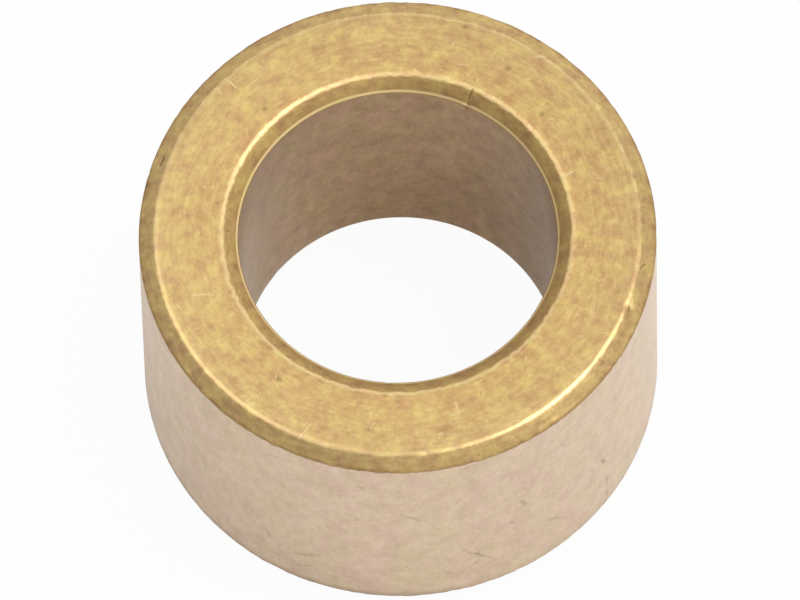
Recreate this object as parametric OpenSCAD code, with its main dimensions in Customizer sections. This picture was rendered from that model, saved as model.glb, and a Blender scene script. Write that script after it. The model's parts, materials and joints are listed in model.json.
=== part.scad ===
// Plain sleeve bushing in bronze, a single ring with a chamfer on the outer and on the bore edge of each end.
// Millimetres. The bore runs along +Z, and the origin is the centre of the lower end face.

/* [Sleeve] */
// Outside diameter, pressed into a housing
outer_d = 20.64; // [16:0.01:60]
// Bore diameter, running on a shaft
bore_d = 12.7; // [3:0.01:17]
// Length over the two end faces
length = 12.7; // [3:0.1:80]

/* [Outer chamfer] */
// Width across the end face
outer_chamfer_w = 0.67; // [0.2:0.01:2]
// Height along the outer wall
outer_chamfer_h = 0.3; // [0.1:0.01:2]

/* [Bore chamfer] */
// Width across the end face
bore_chamfer_w = 0.67; // [0.2:0.01:2]
// Height along the bore
bore_chamfer_h = 0.36; // [0.1:0.01:2]

/* [Edges] */
// Radius where an end face turns into a chamfer
face_edge_r = 0.5; // [0.05:0.01:0.6]
// Radius where a chamfer turns into the outer wall
wall_edge_r = 0.06; // [0.02:0.01:0.15]
// Radius where a chamfer turns into the bore
bore_edge_r = 0.1; // [0.02:0.01:0.15]

/* [Hidden] */
$fn = 128;

outer_r = outer_d / 2;
bore_r = bore_d / 2;

// Steps in the arc that rounds an edge
edge_steps = 6;

// Corners of the lower half of the wall's section, each [radius, height, edge radius], from the bore outwards
lower_corners = [
    [bore_r, bore_chamfer_h, bore_edge_r],
    [bore_r + bore_chamfer_w, 0, face_edge_r],
    [outer_r - outer_chamfer_w, 0, face_edge_r],
    [outer_r, outer_chamfer_h, wall_edge_r]
];

// The upper half is the lower one turned over, from the outer wall back to the bore
last = len(lower_corners) - 1;
upper_corners = [for (i = [last:-1:0]) let (c = lower_corners[i]) [c[0], length - c[1], c[2]]];
corners = concat(lower_corners, upper_corners);

function place(i) = let (c = corners[(i + len(corners)) % len(corners)]) [c[0], c[1]];
function toward(from, to) = (to - from) / norm(to - from);
function turned(v, angle) = [v.x * cos(angle) - v.y * sin(angle), v.x * sin(angle) + v.y * cos(angle)];

// Arc that rounds corner i, from the side before it to the side after it
function rounding(i) =
    let (
        before = toward(place(i), place(i - 1)),
        after = toward(place(i), place(i + 1)),
        radius = corners[i][2],
        half_angle = acos(before * after) / 2,
        start = place(i) + before * radius / tan(half_angle),
        centre = place(i) + toward([0, 0], before + after) * radius / sin(half_angle)
    )
    [for (k = [0:edge_steps]) centre + turned(start - centre, (180 - 2 * half_angle) * k / edge_steps)];

// Half section of the wall, in radius and height
module wall_section() {
    polygon([for (i = [0:len(corners) - 1]) each rounding(i)]);
}

// The whole bushing: its section turned once round the bore
module bushing() {
    color("#d3b27c")
        rotate_extrude()
            wall_section();
}

bushing();
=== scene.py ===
# Plain sleeve bushing in bronze, standing on its lower end on white paper.
# Metres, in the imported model's frame: the bore runs along +Z from the centre of the lower end face.
import json
import math
import random

import bpy
from mathutils import Matrix, Vector, kdtree, noise


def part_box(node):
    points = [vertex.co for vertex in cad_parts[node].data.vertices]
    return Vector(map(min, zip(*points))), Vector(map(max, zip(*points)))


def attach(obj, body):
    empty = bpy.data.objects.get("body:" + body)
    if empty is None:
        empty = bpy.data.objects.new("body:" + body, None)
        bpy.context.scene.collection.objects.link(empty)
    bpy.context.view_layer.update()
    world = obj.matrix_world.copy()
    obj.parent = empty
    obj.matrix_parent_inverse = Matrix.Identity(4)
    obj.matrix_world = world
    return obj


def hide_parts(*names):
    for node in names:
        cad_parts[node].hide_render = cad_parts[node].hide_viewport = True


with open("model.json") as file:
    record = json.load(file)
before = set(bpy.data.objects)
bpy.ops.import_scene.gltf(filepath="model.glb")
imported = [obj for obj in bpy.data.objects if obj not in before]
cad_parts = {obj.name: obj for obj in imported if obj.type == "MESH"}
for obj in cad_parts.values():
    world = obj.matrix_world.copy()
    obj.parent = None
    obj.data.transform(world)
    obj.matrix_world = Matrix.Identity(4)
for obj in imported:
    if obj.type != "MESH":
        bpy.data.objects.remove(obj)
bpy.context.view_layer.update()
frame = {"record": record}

# Camera
# A very long lens, high over the front of the ring, so that its circles show as plain ellipses.
# The elevation, the distance and the slight roll put the ring's edges where the photograph has them.
MM = 0.001
camera_elevation = math.radians(65.5)
camera_roll = math.radians(1.5)
camera_distance = 1070 * MM
camera_aim = Vector((0.03, 0, 6.29)) * MM

camera_data = bpy.data.cameras.new("camera")
camera_data.lens = 1202
camera_data.sensor_width = 36
camera_data.clip_start = 0.01
camera_data.clip_end = 10
camera = bpy.data.objects.new("camera", camera_data)
bpy.context.scene.collection.objects.link(camera)
bpy.context.scene.camera = camera
toward_camera = Vector((0, -math.cos(camera_elevation), math.sin(camera_elevation)))
camera_turn = Matrix.Rotation(math.pi / 2 - camera_elevation, 4, "X") @ Matrix.Rotation(-camera_roll, 4, "Z")
camera.matrix_world = Matrix.Translation(camera_aim + toward_camera * camera_distance) @ camera_turn

# Sleeve
# One ring of sintered bronze: pressed from powder, squeezed to size in a die, then faced and chamfered.
# Handling has burnished the edges of its faces, which also carry a painted highlight, and left scratches on
# them and nicks along the edges.
mount_sizes = {mount["name"]: mount["dims"] for mount in frame["record"]["mounts"]}
ring_low, ring_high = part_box("bushing")
outer_r = mount_sizes["outer_wall"]["r_mm"]
bore_r = mount_sizes["bore"]["r_mm"]
length = (ring_high.z - ring_low.z) / MM
outer_chamfer_w = 0.67
outer_chamfer_h = 0.3
bore_chamfer_w = 0.67
bore_chamfer_h = 0.36
face_edge_r = 0.5
wall_edge_r = 0.06
bore_edge_r = 0.1
face_outer_r = outer_r - outer_chamfer_w
face_inner_r = bore_r + bore_chamfer_w


def on_ring(bearing_degrees, radius, depth):
    """A place in millimetres, by its bearing from +X, its radius and its depth below the upper face."""
    bearing = math.radians(bearing_degrees)
    return Vector((radius * math.cos(bearing), radius * math.sin(bearing), length - depth))


# Scratches and flecks on the upper face, each from one end to the other
face_scratches_and_glints = [
    [Vector((x, y, length)) for x, y in ends]
    for ends in [
        [(-6.7, 7.0), (-6.3, 6.6)],
        [(-7.05, 6.53), (-6.9, 6.4)],
        [(-8.25, -2.45), (-7.4, -2.45)],
        [(-7.65, -3.05), (-7.15, -2.5)],
        [(5.7, 7.6), (6.7, 7.65)],
        [(-4.1, -8.8), (-3.65, -8.25)],
        [(-6.15, -7.4), (-5.9, -7.25)],
        [(-6.15, -7.15), (-5.9, -6.9)],
        [(6.7, 2.35), (7.05, 2.5)],
        [(1.95, -8.0), (2.2, -7.93)],
        [(2.2, -7.93), (2.12, -7.5)],
        [(1.42, -8.83), (1.56, -8.8)],
        [(-5.22, 5.3), (-5.1, 5.3)],
        [(-6.72, -3.4), (-6.6, -3.36)],
        [(5.3, 6.6), (5.44, 6.66)],
    ]
]
# Painted glints on the edges of the upper end, bright places each from one bearing and radius to another
face_scratches_and_glints += [
    [on_ring(bearing, radius, max(0, (radius - face_outer_r) / 2)) for bearing, radius in ends]
    for ends in [
        [(-20.2, 9.84), (-17.4, 9.7)],
        [(20.4, 9.7), (21.8, 9.69)],
        [(9.4, 9.72), (11, 9.7)],
        [(33, 9.78), (34.2, 9.76)],
        [(73.8, 6.98), (75.4, 6.98)],
        [(54.6, 7.09), (56, 7.09)],
        [(39.2, 7.05), (40.6, 7.04)],
    ]
]
# Soft brown pits in the upper face
face_pits = [
    [Vector((x, y, length)), Vector((x + 0.05, y + 0.02, length))]
    for x, y in [(-5.2, 5.6), (4.55, 7.1), (5.85, 5.05), (-4.9, -6.25), (2.9, 9.0)]
]
# Dark marks on the chamfers of the upper end, each from one bearing, radius and depth to another
chamfer_marks = [
    [on_ring(*end) for end in ends]
    for ends in [
        [(158.2, 9.93, 0.13), (160.6, 9.94, 0.13)],
        [(62.8, 6.42, 0.33), (63.2, 6.98, 0.02)],
        [(-21.7, 9.82, 0.08), (-20.6, 9.77, 0.06)],
        [(-10.4, 9.82, 0.08), (-9.2, 9.92, 0.12)],
        [(-136.8, 6.82, 0.11), (-136.2, 6.82, 0.11)],
        [(-130.8, 6.9, 0.07), (-130.2, 6.9, 0.07)],
    ]
]
# Nicks in the upper end's edges: the middle of each, how far it reaches and how deep it goes
edge_nicks = [
    (on_ring(159.5, 9.9, 0.12), 0.35, 0.04),
    (on_ring(-9.5, 9.9, 0.12), 0.3, 0.03),
    (on_ring(-21, 9.78, 0.06), 0.3, 0.03),
    (on_ring(-84.5, 9.65, 0), 0.15, 0.012),
    (on_ring(62.8, 6.6, 0.22), 0.15, 0.03),
    (on_ring(62.8, 6.42, 0.33), 0.2, 0.05),
    (on_ring(-136.5, 6.82, 0.1), 0.2, 0.03),
    (on_ring(-130.5, 6.9, 0.08), 0.2, 0.03),
]
# Scratches and dots on the outer wall, plain ones and faint ones, each from one bearing and height to another
plain_wall_scratches, faint_wall_scratches = [
    [[on_ring(bearing, outer_r, length - z) for bearing, z in ends] for ends in scratches]
    for scratches in (
        [
            [(-76.8, 4.0), (-70.5, 2.6)],
            [(-38, 2.6), (-38, 0.85)],
            [(-62.9, 6.8), (-62.1, 6.4)],
            [(-39.7, 4.7), (-38.4, 4.3)],
        ],
        [
            [(-75.7, 2.3), (-73.8, 2.65)],
            [(-90.7, 8.3), (-86.9, 7.7)],
            [(-56.3, 3.55), (-53.1, 2.95)],
            [(-52.5, 10.0), (-51.1, 9.4)],
            [(-115.7, 2.55), (-109.7, 3.2)],
            [(-114.4, 1.5), (-111.4, 1.9)],
            [(-66, 5.3), (-65.2, 5.05)],
            [(-122.4, 3.4), (-122.1, 3.2)],
            [(-124.6, 4.25), (-124.3, 4.15)],
            [(-101, 7.65), (-100.8, 7.5)],
            [(-104.6, 9.6), (-104.4, 9.4)],
            [(-99.6, 10.8), (-99.2, 10.45)],
        ],
    )
]


def add_node(tree, kind, inputs=(), **settings):
    """Adds a node with its settings, and sets or links its inputs, each given by its name or its number."""
    node = tree.nodes.new(kind)
    for name, value in settings.items():
        setattr(node, name, value)
    for key, value in dict(inputs).items():
        usable = [socket for socket in node.inputs if socket.enabled]
        socket = usable[key] if isinstance(key, int) else next(s for s in usable if s.name == key)
        if isinstance(value, bpy.types.Node):
            value = next(s for s in value.outputs if s.enabled)
        if isinstance(value, bpy.types.NodeSocket):
            tree.links.new(value, socket)
        else:
            socket.default_value = value
    return node


def maths(tree, operation, *values):
    """A number worked out from up to three others."""
    return add_node(tree, "ShaderNodeMath", dict(enumerate(values)), operation=operation)


def vector_maths(tree, operation, *values):
    """A vector, length or distance worked out from up to two vectors."""
    return add_node(tree, "ShaderNodeVectorMath", dict(enumerate(values)), operation=operation)


def scaled(tree, vector, factor):
    """A vector made longer or shorter."""
    return add_node(tree, "ShaderNodeVectorMath", {0: vector, "Scale": factor}, operation="SCALE")


def ranged(tree, value, before, after=(0.0, 1.0)):
    """The value carried from the range that it had before into the one after, and held at the ends."""
    inputs = {
        "Value": value,
        "From Min": before[0],
        "From Max": before[1],
        "To Min": after[0],
        "To Max": after[1],
    }
    return add_node(tree, "ShaderNodeMapRange", inputs)


def mottling(tree, place, patch_mm, detail, roughness=0.5):
    """Soft random patches of about some size, as a number or a colour round 0.5."""
    inputs = {"Vector": place, "Scale": 1 / patch_mm, "Detail": detail, "Roughness": roughness}
    return add_node(tree, "ShaderNodeTexNoise", inputs)


def linear(hex_colour):
    """An sRGB colour such as "d8b77d" as linear red, green, blue and alpha."""
    channels = [int(hex_colour[i:i + 2], 16) / 255 for i in (0, 2, 4)]
    return [c / 12.92 if c <= 0.04045 else ((c + 0.055) / 1.055) ** 2.4 for c in channels] + [1.0]


def blended(tree, share, colour, other):
    """The colour with some share of the other mixed in."""
    return add_node(tree, "ShaderNodeMix", {"Factor": share, "A": colour, "B": other}, data_type="RGBA")


def start_material(name):
    """A new material with an empty tree of nodes."""
    material = bpy.data.materials.new(name)
    material.use_nodes = True
    material.node_tree.nodes.clear()
    return material, material.node_tree


def ring_places(tree):
    """Where a point of the ring lies, in millimetres, as the sockets that the finishes read."""
    metres = add_node(tree, "ShaderNodeTexCoord").outputs["Object"]
    place = vector_maths(tree, "MULTIPLY", metres, [1 / MM] * 3)
    x, y, z = add_node(tree, "ShaderNodeSeparateXYZ", {0: place}).outputs
    plan = add_node(tree, "ShaderNodeCombineXYZ", {"X": x, "Y": y})
    from_middle = maths(tree, "ABSOLUTE", maths(tree, "SUBTRACT", z, length / 2))
    front = maths(tree, "MULTIPLY", y, -1.0)
    return {
        "place": place,
        "plan": plan,
        "radius": vector_maths(tree, "LENGTH", plan),
        "bearing": vector_maths(tree, "NORMALIZE", plan),
        "depth": maths(tree, "SUBTRACT", length / 2, from_middle),
        "turn": maths(tree, "ARCTAN2", x, front),
        "side": x,
        "height": z,
    }


def listed_scratches(tree, place, scratches, width_mm):
    """How far a place lies inside the nearest of some straight scratches, from 0 at their edges to 1."""
    deepest = 0.0
    for start, end in scratches:
        run = end - start
        from_start = vector_maths(tree, "SUBTRACT", place, start)
        along = vector_maths(tree, "DOT_PRODUCT", from_start, run / run.length_squared)
        along = add_node(tree, "ShaderNodeClamp", {"Value": along})
        gap = vector_maths(tree, "DISTANCE", from_start, scaled(tree, run, along))
        deepest = maths(tree, "MAXIMUM", ranged(tree, gap, (width_mm / 2, 0.0)), deepest)
    return deepest


def scattered_scratches(tree, flat, cell_mm, long_mm, wide_mm, share):
    """Short random scratches on a flat or unrolled surface, in some share of its cells, from 0 to 1."""
    cells = {"Vector": flat, "Scale": 1 / cell_mm}
    cell = add_node(tree, "ShaderNodeTexVoronoi", cells, voronoi_dimensions="2D").outputs
    luck = add_node(tree, "ShaderNodeSeparateColor", {0: cell["Color"]}).outputs
    away = vector_maths(tree, "SUBTRACT", flat, cell["Position"])
    slant = maths(tree, "MULTIPLY", luck["Red"], math.pi)
    turned = {"Vector": away, "Angle": slant}
    turned = add_node(tree, "ShaderNodeVectorRotate", turned, rotation_type="Z_AXIS")
    turned = vector_maths(tree, "ABSOLUTE", turned)
    along, across, _ = add_node(tree, "ShaderNodeSeparateXYZ", {0: turned}).outputs
    narrow = ranged(tree, across, (wide_mm / 2, 0.0))
    short = ranged(tree, along, (long_mm / 2, long_mm / 4))
    chosen = maths(tree, "LESS_THAN", luck["Blue"], share)
    return maths(tree, "MULTIPLY", maths(tree, "MULTIPLY", narrow, short), chosen)


def scattered_spots(tree, place, cell_mm, wide_mm, share):
    """Small random spots, in some share of the cells of a surface, from 0 at their edges to 1."""
    cell = add_node(tree, "ShaderNodeTexVoronoi", {"Vector": place, "Scale": 1 / cell_mm}).outputs
    luck = add_node(tree, "ShaderNodeSeparateColor", {0: cell["Color"]}).outputs
    widest = wide_mm / 2 / cell_mm
    inside = ranged(tree, cell["Distance"], (widest, widest / 3))
    return maths(tree, "MULTIPLY", inside, maths(tree, "LESS_THAN", luck["Blue"], share))


def tinted(tree, place, patch_mm, tints, colour):
    """The colour with soft patches in it, some leaning to one tint and some to the other."""
    lean = mottling(tree, place, patch_mm, 1.0, 0.7).outputs["Color"]
    lean = add_node(tree, "ShaderNodeSeparateColor", {0: lean}).outputs["Red"]
    tint = blended(tree, ranged(tree, lean, (0.3, 0.7)), linear(tints[0]), linear(tints[1]))
    both = {"Factor": 1.0, "A": colour, "B": tint}
    return add_node(tree, "ShaderNodeMix", both, data_type="RGBA", blend_type="MULTIPLY")


def unsteady(tree, place, bend_mm, every_mm=0.4):
    """The place shifted a little to and fro, so that what is drawn straight comes out slightly bent."""
    bend = mottling(tree, place, every_mm, 1.0).outputs["Color"]
    bend = vector_maths(tree, "SUBTRACT", bend, [0.5] * 3)
    return vector_maths(tree, "ADD", place, scaled(tree, bend, bend_mm))


# Sleeve, its faced ends
# Bronze cut on a lathe: a warm satin gold on the faces, mottled, with faint rings left by the tool.
# The chamfers are painted darker as shade, and the edges between are painted pale and bright: partly burnish,
# partly painted highlight.
faced_bronze, tree = start_material("sintered bronze, faced")
at = ring_places(tree)

broad_mm = 2.5
mottle_mm = 0.7
tint_mm = 0.7
grain_mm = 0.1
streak_pitch_mm = 0.14
streak_run_mm = 0.7
broad = mottling(tree, at["place"], broad_mm, 1.0)
mottle = mottling(tree, at["place"], mottle_mm, 3.0, 0.75)
grain = mottling(tree, at["place"], grain_mm, 1.0)
around = scaled(tree, at["bearing"], face_outer_r / streak_run_mm)
across = maths(tree, "DIVIDE", at["radius"], streak_pitch_mm)
across = add_node(tree, "ShaderNodeCombineXYZ", {"Z": across})
streak = mottling(tree, vector_maths(tree, "ADD", around, across), 1.0, 2.0)

# The finishes lie in rings round the bore, and a wobble makes their borders uneven, most of all at the bore
wobble_every_mm = 0.35
wobble_at_bore_mm = 0.045
wobble_outside_mm = 0.02
face_margin_mm = 0.3
flat_of_face = (face_inner_r + face_margin_mm, face_outer_r - face_margin_mm)
wobble = ranged(tree, mottling(tree, at["place"], wobble_every_mm, 1.0), (0.3, 0.7), (-1.0, 1.0))
wobble_mm = ranged(tree, at["radius"], flat_of_face, (wobble_at_bore_mm, wobble_outside_mm))
ring_radius = maths(tree, "MULTIPLY_ADD", wobble, wobble_mm, at["radius"])
ring_share = ranged(tree, ring_radius, (bore_r, outer_r))

# Radius in millimetres, paler colour, darker colour and roughness; the darker chamfer rows are painted shade,
# and the pale edge rows partly burnish, partly painted highlight
ring_finishes_and_painted_light = [
    (bore_r + 0.05, "bb9a66", "8e7249", 0.42),
    (face_inner_r - 0.12, "cba973", "9b7d50", 0.4),
    (face_inner_r - 0.05, "f8dba4", "e2bf89", 0.4),
    (face_inner_r + 0.03, "f8dba4", "e2bf89", 0.4),
    (face_inner_r + 0.12, "f7d393", "cba36c", 0.36),
    (face_outer_r - 0.13, "f5d396", "c9a470", 0.36),
    (face_outer_r - 0.06, "f7d8a0", "d8b57e", 0.33),
    (face_outer_r + 0.04, "f7d8a0", "d8b57e", 0.33),
    (face_outer_r + 0.11, "d7b782", "ad8f62", 0.37),
    (outer_r - 0.12, "d4b47f", "a5875b", 0.37),
    (outer_r - 0.03, "c09e6f", "8f734b", 0.42),
]
ramps = []
for column in (1, 2, 3):
    ramp = add_node(tree, "ShaderNodeValToRGB", {0: ring_share})
    while len(ramp.color_ramp.elements) < len(ring_finishes_and_painted_light):
        ramp.color_ramp.elements.new(1.0)
    for element, finish in zip(ramp.color_ramp.elements, ring_finishes_and_painted_light):
        element.position = (finish[0] - bore_r) / (outer_r - bore_r)
        value = finish[column]
        element.color = linear(value) if isinstance(value, str) else (value, value, value, 1)
    ramps.append(ramp)
paler, darker, roughness = ramps

# How much each pattern adds to the mottling: the side term is painted light, leaving the face a little paler
# on its left side
patch_range = (0.63, 1.11)
patch = mottle
for pattern, weight in ((streak, 0.42), (grain, 0.14), (broad, 0.15), (at["side"], 0.003)):
    patch = maths(tree, "MULTIPLY_ADD", pattern, weight, patch)
colour = blended(tree, ranged(tree, patch, patch_range), paler, darker)

# Bright flecks and fine scratches lie on the flat of the face, and the lip of the bore is painted pale:
# partly rubbing, partly painted highlight
face_middle_r = (face_inner_r + face_outer_r) / 2
face_half_w = (face_outer_r - face_inner_r) / 2
fine_scratch = scattered_scratches(tree, at["plan"], cell_mm=0.9, long_mm=0.4, wide_mm=0.09, share=0.15)
fleck_place = unsteady(tree, at["place"], 0.5)
fleck = scattered_spots(tree, fleck_place, cell_mm=0.32, wide_mm=0.18, share=0.3)
off_middle = maths(tree, "ABSOLUTE", maths(tree, "SUBTRACT", at["radius"], face_middle_r))
on_face = ranged(tree, off_middle, (face_half_w, face_half_w - 0.1), (0.0, 0.55))
bright = maths(tree, "MULTIPLY", maths(tree, "MAXIMUM", fine_scratch, fleck), on_face)
colour = blended(tree, bright, colour, linear("fde4ad"))
painted_lip_highlight = ranged(tree, at["radius"], (bore_r + 0.12, bore_r + 0.09))
colour = blended(tree, painted_lip_highlight, colour, linear("dcc190"))
colour = tinted(tree, at["place"], tint_mm, ("f9ffec", "fff9fd"), colour)

# The listed scratches shine, and so do the painted glints listed with them; the listed marks and pits are
# brown, like the fine specks between them
bent_place = unsteady(tree, at["place"], 0.15)
scratch = listed_scratches(tree, bent_place, face_scratches_and_glints, width_mm=0.15)
scratch = maths(tree, "MULTIPLY", scratch, ranged(tree, mottle, (0.4, 0.6), (0.55, 1.0)))
colour = blended(tree, scratch, colour, linear("f8dea6"))
mark = listed_scratches(tree, bent_place, chamfer_marks, width_mm=0.16)
mark = maths(tree, "MULTIPLY", mark, 0.8)
pit = listed_scratches(tree, bent_place, face_pits, width_mm=0.3)
speck_place = unsteady(tree, at["place"], 0.3)
speck = scattered_spots(tree, speck_place, cell_mm=0.5, wide_mm=0.24, share=0.25)
pit = maths(tree, "MAXIMUM", pit, maths(tree, "MULTIPLY", speck, 0.5))
pit = maths(tree, "MULTIPLY", pit, 0.5)
colour = blended(tree, maths(tree, "MAXIMUM", mark, pit), colour, linear("6b5230"))

# The tool's rings and the grain roughen the cut, and the scratches go into it
tool_mark_mm = 0.006
relief = maths(tree, "MULTIPLY_ADD", streak, 0.8, grain)
relief = maths(tree, "SUBTRACT", relief, scratch)
bump = add_node(tree, "ShaderNodeBump", {"Strength": 0.3, "Distance": tool_mark_mm * MM, "Height": relief})
metal = add_node(
    tree,
    "ShaderNodeBsdfPrincipled",
    {
        "Base Color": colour,
        "Metallic": 1.0,
        "Roughness": roughness,
        "Anisotropic": 0.12,
        "Tangent": at["bearing"],
        "Normal": bump,
    },
)
add_node(tree, "ShaderNodeOutputMaterial", {"Surface": metal})

# Sleeve, its sized walls
# Bronze squeezed to size in a die: a pale, matte skin with fine closed pores, pinker than a cut face.
# The bore is painted darker and browner than the outside as shade, and darker still on its right as painted
# shade.
# Under the edge entry come its colour, its depth below the end, its raggedness and its roughness; the colour
# is painted shade outside, and in the bore partly burnish, partly painted highlight.
wall_finishes_and_painted_light = {
    "sintered bronze, sized outside": {
        "around_r": outer_r,
        "colours": ("e6cfb5", "d1b69a"),
        "spread": 0.175,
        "tints": ("fcfff4", "fffbff"),
        "roughness": 0.38,
        "sheen": 0.08,
        "painted_shade_right": -0.005,
        "painted_shade_foot": 0.5,
        "spots": "8f7048",
        "scratches": [(plain_wall_scratches, 0.75), (faint_wall_scratches, 0.4)],
        "edge": ("9a7c56", outer_chamfer_h + 0.05, 0.45, 0.45),
    },
    "sintered bronze, sized bore": {
        "around_r": bore_r,
        "colours": ("e4c59c", "a2815e"),
        "spread": 0.33,
        "tints": ("fbffee", "fff7ff"),
        "roughness": 0.22,
        "sheen": 0.0,
        "painted_shade_right": 0.026,
        "painted_shade_foot": 0.0,
        "spots": "74593c",
        "scratches": [],
        "edge": ("e6ce9f", bore_chamfer_h + 0.07, 0.0, 0.4),
    },
}
# The die draws the skin along the bore, so its mottling is longer that way than round it
drawn = (1, 1, 0.75)
wall_mottle_mm = 0.8
wall_tint_mm = 1.2
ragged_every_mm = 0.35
edge_blur_mm = 0.03
pore_mm = 0.01
patch_middle = 0.55
wall_metals = []
for name, finish in wall_finishes_and_painted_light.items():
    material, tree = start_material(name)
    at = ring_places(tree)
    along = maths(tree, "MULTIPLY", at["turn"], finish["around_r"])
    unrolled = add_node(tree, "ShaderNodeCombineXYZ", {"X": along, "Y": at["height"]})
    drawn_place = vector_maths(tree, "MULTIPLY", at["place"], drawn)
    mottle = mottling(tree, drawn_place, wall_mottle_mm, 4.0, 0.85)
    grain = mottling(tree, drawn_place, grain_mm, 1.0)
    patch = maths(tree, "MULTIPLY_ADD", grain, 0.08, mottle)
    # The side term is painted shade: the bore darker on its right, the outside a little darker on its left
    patch = maths(tree, "MULTIPLY_ADD", at["side"], finish["painted_shade_right"], patch)
    patch = ranged(tree, patch, (patch_middle - finish["spread"], patch_middle + finish["spread"]))
    paler, darker = [linear(colour) for colour in finish["colours"]]
    colour = blended(tree, patch, paler, darker)
    colour = tinted(tree, drawn_place, wall_tint_mm, finish["tints"], colour)

    # Pores and scratches are brown, and the foot of the outside is painted brown as shade from the paper,
    # most of all on its left
    spots = scattered_spots(tree, drawn_place, cell_mm=0.45, wide_mm=0.14, share=0.3)
    scratch = scattered_scratches(tree, unrolled, cell_mm=2.6, long_mm=0.7, wide_mm=0.09, share=0.2)
    marks_and_foot_shade = maths(tree, "MULTIPLY", maths(tree, "MAXIMUM", spots, scratch), 0.3)
    bent_place = unsteady(tree, at["place"], 0.18)
    for scratches, strength in finish["scratches"]:
        listed = listed_scratches(tree, bent_place, scratches, width_mm=0.24)
        listed = maths(tree, "MULTIPLY", listed, ranged(tree, mottle, (0.4, 0.6), (0.15, strength)))
        marks_and_foot_shade = maths(tree, "MAXIMUM", marks_and_foot_shade, listed)
    foot_shade = ranged(tree, at["height"], (0.8, 0.3), (0.0, finish["painted_shade_foot"]))
    foot_shade = maths(tree, "MULTIPLY", foot_shade, ranged(tree, at["side"], (5.0, 0.0), (0.2, 1.0)))
    marks_and_foot_shade = maths(tree, "MAXIMUM", marks_and_foot_shade, foot_shade)
    colour = blended(tree, marks_and_foot_shade, colour, linear(finish["spots"]))

    # A painted border runs along each chamfer: brown, ragged painted shade on the outside, and pale and even
    # in the bore, partly burnish and partly painted highlight
    painted_edge_colour, edge_depth, raggedness, edge_roughness = finish["edge"]
    ragged = mottling(tree, at["place"], ragged_every_mm, 2.0)
    ragged_depth = maths(tree, "MULTIPLY_ADD", ragged, raggedness, at["depth"])
    edge_middle = edge_depth + raggedness / 2
    edge_range = (edge_middle + edge_blur_mm, edge_middle - edge_blur_mm)
    painted_edge_band = ranged(tree, ragged_depth, edge_range, (0.0, 0.8))
    colour = blended(tree, painted_edge_band, colour, linear(painted_edge_colour))
    roughness = ranged(tree, painted_edge_band, (0.0, 1.0), (finish["roughness"], edge_roughness))

    relief = maths(tree, "SUBTRACT", grain, marks_and_foot_shade)
    bump = add_node(tree, "ShaderNodeBump", {"Strength": 0.4, "Distance": pore_mm * MM, "Height": relief})
    metal = add_node(
        tree,
        "ShaderNodeBsdfPrincipled",
        {
            "Base Color": colour,
            "Metallic": 0.8,
            "Roughness": roughness,
            "Sheen Weight": finish["sheen"],
            "Sheen Roughness": 0.4,
            "Normal": bump,
        },
    )
    add_node(tree, "ShaderNodeOutputMaterial", {"Surface": metal})
    wall_metals.append(material)

# Sleeve, its form
# The wall's section, with a rounding at each corner, is carried once round the bore.
ring_tree = bpy.data.node_groups.new("turned ring", "GeometryNodeTree")
ring_tree.interface.new_socket("Ring", in_out="OUTPUT", socket_type="NodeSocketGeometry")
ring_inputs = {
    "Outer Radius": outer_r * MM,
    "Bore Radius": bore_r * MM,
    "Length": length * MM,
    "Outer Chamfer Width": outer_chamfer_w * MM,
    "Outer Chamfer Height": outer_chamfer_h * MM,
    "Bore Chamfer Width": bore_chamfer_w * MM,
    "Bore Chamfer Height": bore_chamfer_h * MM,
    "Face Edge Radius": face_edge_r * MM,
    "Wall Edge Radius": wall_edge_r * MM,
    "Bore Edge Radius": bore_edge_r * MM,
    "Longest Step": 0.1 * MM,
    "Most Cuts": 16,
    "Turn Steps": 640,
}
for name, value in ring_inputs.items():
    kind = "NodeSocketInt" if isinstance(value, int) else "NodeSocketFloat"
    ring_tree.interface.new_socket(name, in_out="INPUT", socket_type=kind)
size = add_node(ring_tree, "NodeGroupInput").outputs

# Corners of the section from the bore outwards along the lower end, then back along the upper end
face_inner = maths(ring_tree, "ADD", size["Bore Radius"], size["Bore Chamfer Width"])
face_outer = maths(ring_tree, "SUBTRACT", size["Outer Radius"], size["Outer Chamfer Width"])
corners = [
    (size["Bore Radius"], size["Bore Chamfer Height"], size["Bore Edge Radius"]),
    (face_inner, 0.0, size["Face Edge Radius"]),
    (face_outer, 0.0, size["Face Edge Radius"]),
    (size["Outer Radius"], size["Outer Chamfer Height"], size["Wall Edge Radius"]),
]
for corner_r, corner_z, edge_r in reversed(corners[:]):
    upper_z = maths(ring_tree, "SUBTRACT", size["Length"], corner_z)
    corners.append((corner_r, upper_z, edge_r))

# The section is drawn about a guide circle halfway through the wall, and hangs from it upside down
across_both = maths(ring_tree, "ADD", size["Outer Radius"], size["Bore Radius"])
guide_r = maths(ring_tree, "MULTIPLY", across_both, 0.5)
corner_number = add_node(ring_tree, "GeometryNodeInputIndex")
corner_place = add_node(ring_tree, "GeometryNodeIndexSwitch", {"Index": corner_number}, data_type="VECTOR")
corner_round = add_node(ring_tree, "GeometryNodeIndexSwitch", {"Index": corner_number}, data_type="FLOAT")
for switch in (corner_place, corner_round):
    while len(switch.index_switch_items) < len(corners):
        switch.index_switch_items.new()
for number, (corner_r, corner_z, edge_r) in enumerate(corners):
    out = maths(ring_tree, "SUBTRACT", corner_r, guide_r)
    down = maths(ring_tree, "MULTIPLY", corner_z, -1.0)
    point = add_node(ring_tree, "ShaderNodeCombineXYZ", {"X": out, "Y": down})
    ring_tree.links.new(point.outputs[0], corner_place.inputs[str(number)])
    ring_tree.links.new(edge_r, corner_round.inputs[str(number)])
line = add_node(ring_tree, "GeometryNodeMeshLine", {"Count": len(corners)})
line = add_node(ring_tree, "GeometryNodeSetPosition", {"Geometry": line, "Position": corner_place})
section = add_node(ring_tree, "GeometryNodeMeshToCurve", {"Mesh": line})
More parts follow.
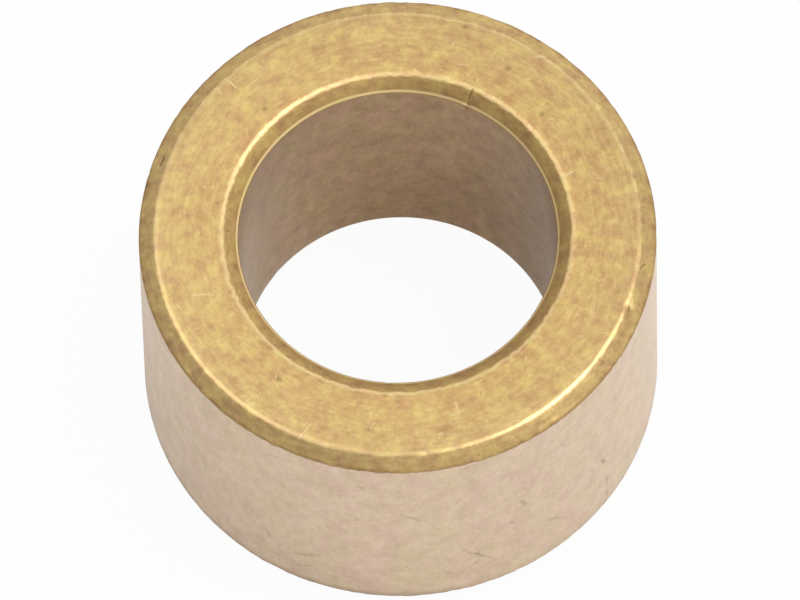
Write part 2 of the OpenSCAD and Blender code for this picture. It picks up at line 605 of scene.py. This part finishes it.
section = add_node(ring_tree, "GeometryNodeSetSplineCyclic", {"Geometry": section, "Cyclic": True})
section = add_node(
    ring_tree, "GeometryNodeFilletCurve", {"Curve": section, "Count": 6, "Radius": corner_round}, mode="POLY"
)

# Long sides get points along them, so that the wear has something to move
here = add_node(ring_tree, "GeometryNodeInputPosition")
next_number = add_node(
    ring_tree, "GeometryNodeOffsetPointInCurve", {"Point Index": corner_number, "Offset": 1}
).outputs["Point Index"]
there = add_node(
    ring_tree, "GeometryNodeFieldAtIndex", {"Value": here, "Index": next_number}, data_type="FLOAT_VECTOR"
)
side = vector_maths(ring_tree, "DISTANCE", here, there)
cuts = maths(ring_tree, "DIVIDE", side, size["Longest Step"])
cuts = maths(ring_tree, "MINIMUM", cuts, size["Most Cuts"])
section = add_node(ring_tree, "GeometryNodeSubdivideCurve", {"Curve": section, "Cuts": cuts})

guide = {"Resolution": size["Turn Steps"], "Radius": guide_r}
guide = add_node(ring_tree, "GeometryNodeCurvePrimitiveCircle", guide, mode="RADIUS")
ring = add_node(ring_tree, "GeometryNodeCurveToMesh", {"Curve": guide, "Profile Curve": section})
ring = add_node(ring_tree, "GeometryNodeFlipFaces", {"Mesh": ring})
ring = add_node(ring_tree, "GeometryNodeSetShadeSmooth", {"Geometry": ring})
ring = add_node(ring_tree, "GeometryNodeRealizeInstances", {"Geometry": ring})
ring = add_node(ring_tree, "GeometryNodeSetMaterial", {"Geometry": ring, "Material": faced_bronze})

# The die leaves its finish wherever the surface stands upright: outside the guide circle, and inside it
normal = add_node(ring_tree, "GeometryNodeInputNormal")
upright = add_node(ring_tree, "ShaderNodeSeparateXYZ", {0: normal}).outputs["Z"]
upright = maths(ring_tree, "ABSOLUTE", upright)
on_wall = add_node(ring_tree, "FunctionNodeCompare", {"A": upright, "B": 0.2}, operation="LESS_THAN")
outward = vector_maths(ring_tree, "MULTIPLY", here, (1, 1, 0))
outward = vector_maths(ring_tree, "LENGTH", outward).outputs["Value"]
for material, operation in zip(wall_metals, ("GREATER_THAN", "LESS_THAN")):
    on_side = add_node(ring_tree, "FunctionNodeCompare", {"A": outward, "B": guide_r}, operation=operation)
    chosen = add_node(ring_tree, "FunctionNodeBooleanMath", {0: on_wall, 1: on_side}, operation="AND")
    ring = add_node(
        ring_tree, "GeometryNodeSetMaterial", {"Geometry": ring, "Selection": chosen, "Material": material}
    )
add_node(ring_tree, "NodeGroupOutput", {0: ring})

blank = bpy.data.objects.new("ring blank", bpy.data.meshes.new("ring blank"))
bpy.context.scene.collection.objects.link(blank)
turning = blank.modifiers.new("turned ring", "NODES")
turning.node_group = ring_tree
for item in ring_tree.interface.items_tree:
    if item.in_out == "INPUT":
        turning[item.identifier] = ring_inputs[item.name]
ready = blank.evaluated_get(bpy.context.evaluated_depsgraph_get())
ring_mesh = bpy.data.meshes.new_from_object(ready)
bpy.data.objects.remove(blank)

# Sleeve, its wear
# The tool broke out of the outer wall unevenly, so the border of each outer chamfer with it wanders.
# Handling has rubbed the edges of the faces uneven, and knocks have nicked every edge here and there.
wander_reach = 0.25
# Height and run of each wave in the border, which is drawn from another place for each end
wander_waves = [(0.035, 0.8), (0.045, 0.3)]
ends_apart = 20
rub_reach = 0.3
rub_depth = 0.009
rub_sway = 0.006
rub_run = 0.7
rag_run = 0.25
outward_at = [vertex.normal.copy() for vertex in ring_mesh.vertices]
rubbed_edges = [(face_outer_r, 0.006), (face_inner_r, 0.012)]
for vertex in ring_mesh.vertices:
    place = vertex.co / MM
    radius = math.hypot(place.x, place.y)
    toward_end = 1 if place.z > length / 2 else -1
    depth = length / 2 - abs(place.z - length / 2)
    on_edge = Vector((place.x, place.y, 0)).normalized() * outer_r
    on_edge.z = ends_apart * toward_end
    gap = math.hypot(radius - outer_r, depth - outer_chamfer_h)
    if gap < wander_reach:
        wander = sum(height * noise.noise(on_edge / run) for height, run in wander_waves)
        vertex.co.z -= toward_end * wander * (1 - gap / wander_reach) * MM
    for edge_radius, raggedness in rubbed_edges:
        gap = math.hypot(radius - edge_radius, depth)
        if gap < rub_reach:
            rub = rub_depth + rub_sway * noise.noise(place / rub_run)
            rub += raggedness * noise.noise(place / rag_run)
            vertex.co -= outward_at[vertex.index] * rub * (1 - gap / rub_reach) ** 2 * MM

wear = random.Random(11)
nicks_per_edge = 16
nicks = edge_nicks[:]
nicked_edges = [(outer_r, outer_chamfer_h), (face_outer_r, 0), (face_inner_r, 0), (bore_r, bore_chamfer_h)]
for edge_radius, edge_depth in nicked_edges:
    for number in range(nicks_per_edge):
        middle = on_ring(wear.uniform(0, 360), edge_radius, edge_depth)
        if number % 2:
            middle.z = length - middle.z
        nicks.append((middle, wear.uniform(0.1, 0.25), wear.uniform(0.004, 0.02)))
tree_of_points = kdtree.KDTree(len(ring_mesh.vertices))
for vertex in ring_mesh.vertices:
    tree_of_points.insert(vertex.co / MM, vertex.index)
tree_of_points.balance()
for middle, reach, deep in nicks:
    for _, index, gap in tree_of_points.find_range(middle, reach):
        ring_mesh.vertices[index].co -= outward_at[index] * deep * (1 - (gap / reach) ** 2) ** 2 * MM

sleeve = bpy.data.objects.new("sleeve", ring_mesh)
bpy.context.scene.collection.objects.link(sleeve)
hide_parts("bushing")
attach(sleeve, "root")

# Paper
# The white sheet under the bushing. It shows as plain white, and keeps a little of the ring's shadow.
# It lies a hair below the ring, so that their surfaces never coincide.
paper_half = 1.0
paper_drop = 0.02 * MM
white_to_camera = 0.95
white_in_mirror = 0.2
paper_mesh = bpy.data.meshes.new("paper")
paper_signs = ((-1, -1), (1, -1), (1, 1), (-1, 1))
paper_corners = [(x * paper_half, y * paper_half, -paper_drop) for x, y in paper_signs]
paper_mesh.from_pydata(paper_corners, [], [(0, 1, 2, 3)])
paper = bpy.data.objects.new("paper", paper_mesh)
bpy.context.scene.collection.objects.link(paper)
white_paper, tree = start_material("white paper")
light_path = add_node(tree, "ShaderNodeLightPath").outputs
matte = add_node(tree, "ShaderNodeBsdfDiffuse", {"Color": linear("f2f2f2")})
glow = add_node(tree, "ShaderNodeEmission", {"Color": linear("ffffff"), "Strength": 1.0})
mirrored = maths(tree, "MAXIMUM", light_path["Is Glossy Ray"], light_path["Is Transmission Ray"])
mirrored = maths(tree, "MULTIPLY", mirrored, white_in_mirror)
seen = maths(tree, "MULTIPLY", light_path["Is Camera Ray"], white_to_camera)
share = maths(tree, "MAXIMUM", mirrored, seen)
surface = add_node(tree, "ShaderNodeMixShader", {0: share, 1: matte, 2: glow})
add_node(tree, "ShaderNodeOutputMaterial", {"Surface": surface})
paper_mesh.materials.append(white_paper)

# Light
# A light tent, brighter low down than overhead and on the right than on the left, and at the front and back
# a little brighter than at the sides. Two soft boxes hang in it, high on the left and over the front, and a
# small lamp high on the right makes the edges shine.
tent_level = 1.03
from_right_gain = 0.5
panel_gain = -0.12
reach_up = 1.15
world = bpy.data.worlds.new("light tent")
bpy.context.scene.world = world
world.use_nodes = True
tree = world.node_tree
tree.nodes.clear()
direction = add_node(tree, "ShaderNodeTexCoord").outputs["Generated"]
right, back, up = add_node(tree, "ShaderNodeSeparateXYZ", {0: direction}).outputs
tent = add_node(tree, "ShaderNodeValToRGB", {0: up})
tent_levels = [(0.0, 1.05), (0.3, 1.0), (0.6, 0.9), (0.85, 0.585)]
while len(tent.color_ramp.elements) < len(tent_levels):
    tent.color_ramp.elements.new(1.0)
for element, (height, level) in zip(tent.color_ramp.elements, tent_levels):
    element.position = height
    element.color = (level, level, level, 1)
low_down = maths(tree, "SUBTRACT", reach_up, up)
from_right = maths(tree, "MULTIPLY", right, low_down)
from_right = maths(tree, "MULTIPLY_ADD", from_right, from_right_gain, tent_level)
sideways = maths(tree, "MULTIPLY", right, right)
lengthways = maths(tree, "MULTIPLY", back, back)
panels = maths(tree, "MULTIPLY", maths(tree, "SUBTRACT", sideways, lengthways), low_down)
level = maths(tree, "MULTIPLY_ADD", panels, panel_gain, from_right)
light_path = add_node(tree, "ShaderNodeLightPath").outputs
inside = add_node(tree, "ShaderNodeBackground", {"Color": tent, "Strength": level})
beyond = add_node(tree, "ShaderNodeBackground", {"Color": linear("ffffff"), "Strength": 1.0})
surface = add_node(tree, "ShaderNodeMixShader", {0: light_path["Is Camera Ray"], 1: inside, 2: beyond})
add_node(tree, "ShaderNodeOutputWorld", {"Surface": surface})

lamps = {
    "soft box": {"toward": (-0.3, 0.2, 0.93), "away": 0.5, "across": 0.26, "watts": 0.18},
    "front box": {"toward": (0.1, -0.5, 0.86), "away": 0.6, "across": 0.3, "watts": 0.1},
    "small lamp": {"toward": (0.33, 0.04, 0.94), "away": 0.5, "across": 0.1, "watts": 0.36},
}
for name, lamp in lamps.items():
    light = bpy.data.lights.new(name, "AREA")
    light.shape = "DISK"
    light.size = lamp["across"]
    light.energy = lamp["watts"]
    lamp_object = bpy.data.objects.new(name, light)
    toward = Vector(lamp["toward"]).normalized()
    lamp_object.location = toward * lamp["away"]
    lamp_object.rotation_mode = "QUATERNION"
    lamp_object.rotation_quaternion = toward.to_track_quat("Z", "Y")
    bpy.context.scene.collection.objects.link(lamp_object)
bpy.context.scene.view_settings.view_transform = "Standard"
